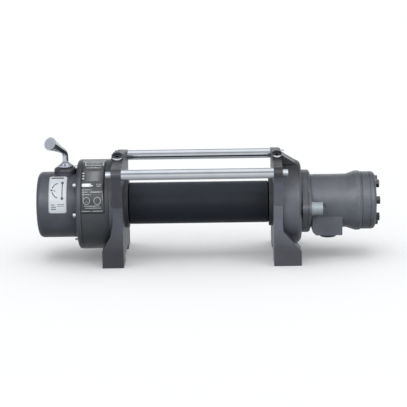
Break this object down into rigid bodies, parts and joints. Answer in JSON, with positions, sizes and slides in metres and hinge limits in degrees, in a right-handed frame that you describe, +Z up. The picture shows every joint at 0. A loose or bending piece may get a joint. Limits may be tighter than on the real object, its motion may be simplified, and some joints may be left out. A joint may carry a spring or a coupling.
{
  "type": "hydraulic winch",
  "caption": "Hydraulic winch: bare rope drum between two footed supports joined by tie rods, planetary gear case with clutch lever on one side, disc brake hub and hydraulic motor on the other.",
  "frame": {"origin": "centre of the four mounting holes, on the feet's bottom plane", "axes": "+X along the drum axis towards the motor, +Y to the rear (the clutch lever points to the front), +Z up from the mounting face"},
  "size_m": [0.5163, 0.172, 0.1915],
  "materials": {
    "support_paint": "satin",
    "chrome": "polished",
    "zinc_plated": "bright zinc",
    "black_screws": "black oxide",
    "plain_steel": "machined",
    "bushing_plastic": "matte",
    "seal_rubber": "matte",
    "drum_paint": "satin",
    "adapter_paint": "satin",
    "housing_paint": "satin",
    "gear_steel": "machined",
    "bronze": "machined",
    "friction_lining": "rough",
    "motor_paint": "satin",
    "dark_label": "gloss",
    "white_label": "gloss"
  },
  "bodies": {
    "frame": {"left_drum_support": "support_paint", "right_drum_support": "support_paint", "tie_rod_front": "chrome", "tie_rod_rear": "chrome", "tie_rod_screws": "zinc_plated", "bracket_screws": "black_screws", "mounting_nuts": "plain_steel", "left_drum_bushing": "bushing_plastic", "right_drum_bushing": "bushing_plastic", "drum_seals": "seal_rubber", "adapter_plate": "adapter_paint", "gear_housing": "housing_paint", "case_gasket": "seal_rubber", "output_ring_gear": "gear_steel", "stage_divider": "gear_steel", "divider_bushing": "bronze", "end_housing": "housing_paint", "case_screws": "zinc_plated", "clutch_lock_ring": "gear_steel", "shaft_thrust_pad": "bronze", "lever_bushing": "bronze", "brake_spring": "plain_steel", "brake_pressure_plate": "plain_steel", "brake_steel_plates": "plain_steel", "brake_torque_pins": "plain_steel", "motor_housing": "motor_paint", "motor_bolts": "zinc_plated", "motor_bolt_washers": "zinc_plated", "motor_shaft_seal": "seal_rubber", "motor_shaft_bearing": "bronze", "rotor_spacer_plate": "motor_paint", "rotor_ring": "motor_paint", "rotor_rollers": "plain_steel", "rotor_star": "plain_steel", "motor_end_cap": "motor_paint", "end_cap_bolts": "black_screws", "case_label": "dark_label", "end_label": "white_label"},
    "drum": {"rope_drum": "drum_paint", "rope_anchor_screw": "plain_steel", "output_carrier": "gear_steel", "output_planet_pins": "plain_steel"},
    "output_planet_a": {"output_planet_1": "gear_steel"},
    "output_planet_b": {"output_planet_2": "gear_steel"},
    "output_planet_c": {"output_planet_3": "gear_steel"},
    "input_carrier_set": {"input_carrier": "gear_steel", "input_planet_pins": "plain_steel", "output_sun_gear": "gear_steel"},
    "input_planet_a": {"input_planet_1": "gear_steel"},
    "input_planet_b": {"input_planet_2": "gear_steel"},
    "input_planet_c": {"input_planet_3": "gear_steel"},
    "input_shaft": {"drive_shaft": "plain_steel", "input_sun_gear": "gear_steel", "drive_coupling": "plain_steel", "brake_friction_discs": "friction_lining", "motor_shaft": "plain_steel", "motor_drive_link": "plain_steel"},
    "clutch_lever_set": {"clutch_lever": "chrome", "shift_crank": "plain_steel"},
    "clutch_ring": {"clutch_ring_gear": "gear_steel"}
  },
  "joints": [
    {"name": "drum_spin", "type": "hinge", "parent": "frame", "child": "drum", "pos_m": [0, 0, 0.082], "axis": [1, 0, 0], "continuous": true},
    {"name": "output_planet_a_spin", "type": "hinge", "parent": "drum", "child": "output_planet_a", "pos_m": [-0.157, 0.03, 0.082], "axis": [1, 0, 0], "continuous": true},
    {"name": "output_planet_b_spin", "type": "hinge", "parent": "drum", "child": "output_planet_b", "pos_m": [-0.157, -0.015, 0.10798], "axis": [1, 0, 0], "continuous": true},
    {"name": "output_planet_c_spin", "type": "hinge", "parent": "drum", "child": "output_planet_c", "pos_m": [-0.157, -0.015, 0.05602], "axis": [1, 0, 0], "continuous": true},
    {"name": "input_carrier_spin", "type": "hinge", "parent": "frame", "child": "input_carrier_set", "pos_m": [-0.205, 0, 0.082], "axis": [1, 0, 0], "continuous": true},
    {"name": "input_planet_a_spin", "type": "hinge", "parent": "input_carrier_set", "child": "input_planet_a", "pos_m": [-0.213, 0.0225, 0.082], "axis": [1, 0, 0], "continuous": true},
    {"name": "input_planet_b_spin", "type": "hinge", "parent": "input_carrier_set", "child": "input_planet_b", "pos_m": [-0.213, -0.01125, 0.10149], "axis": [1, 0, 0], "continuous": true},
    {"name": "input_planet_c_spin", "type": "hinge", "parent": "input_carrier_set", "child": "input_planet_c", "pos_m": [-0.213, -0.01125, 0.06251], "axis": [1, 0, 0], "continuous": true},
    {"name": "drive_shaft_spin", "type": "hinge", "parent": "frame", "child": "input_shaft", "pos_m": [0, 0, 0.082], "axis": [1, 0, 0], "continuous": true},
    {"name": "clutch_lever_turn", "type": "hinge", "parent": "frame", "child": "clutch_lever_set", "pos_m": [-0.2016, 0, 0.142], "axis": [0, 0, -1], "range_deg": [0, 180]},
    {"name": "clutch_ring_slide", "type": "slide", "parent": "frame", "child": "clutch_ring", "axis": [-1, 0, 0], "range_m": [0, 0.008]}
  ],
  "couplings": [
    {"joint": "output_planet_a_spin", "follows": "drum_spin", "ratio": -2.6667},
    {"joint": "output_planet_b_spin", "follows": "drum_spin", "ratio": -2.6667},
    {"joint": "output_planet_c_spin", "follows": "drum_spin", "ratio": -2.6667},
    {"joint": "input_carrier_spin", "follows": "drum_spin", "ratio": 5},
    {"joint": "input_planet_a_spin", "follows": "drum_spin", "ratio": -13.333},
    {"joint": "input_planet_b_spin", "follows": "drum_spin", "ratio": -13.333},
    {"joint": "input_planet_c_spin", "follows": "drum_spin", "ratio": -13.333},
    {"joint": "drive_shaft_spin", "follows": "drum_spin", "ratio": 25},
    {"joint": "clutch_lever_turn", "follows": "clutch_ring_slide", "rad_per_m": 392.7}
  ]
}
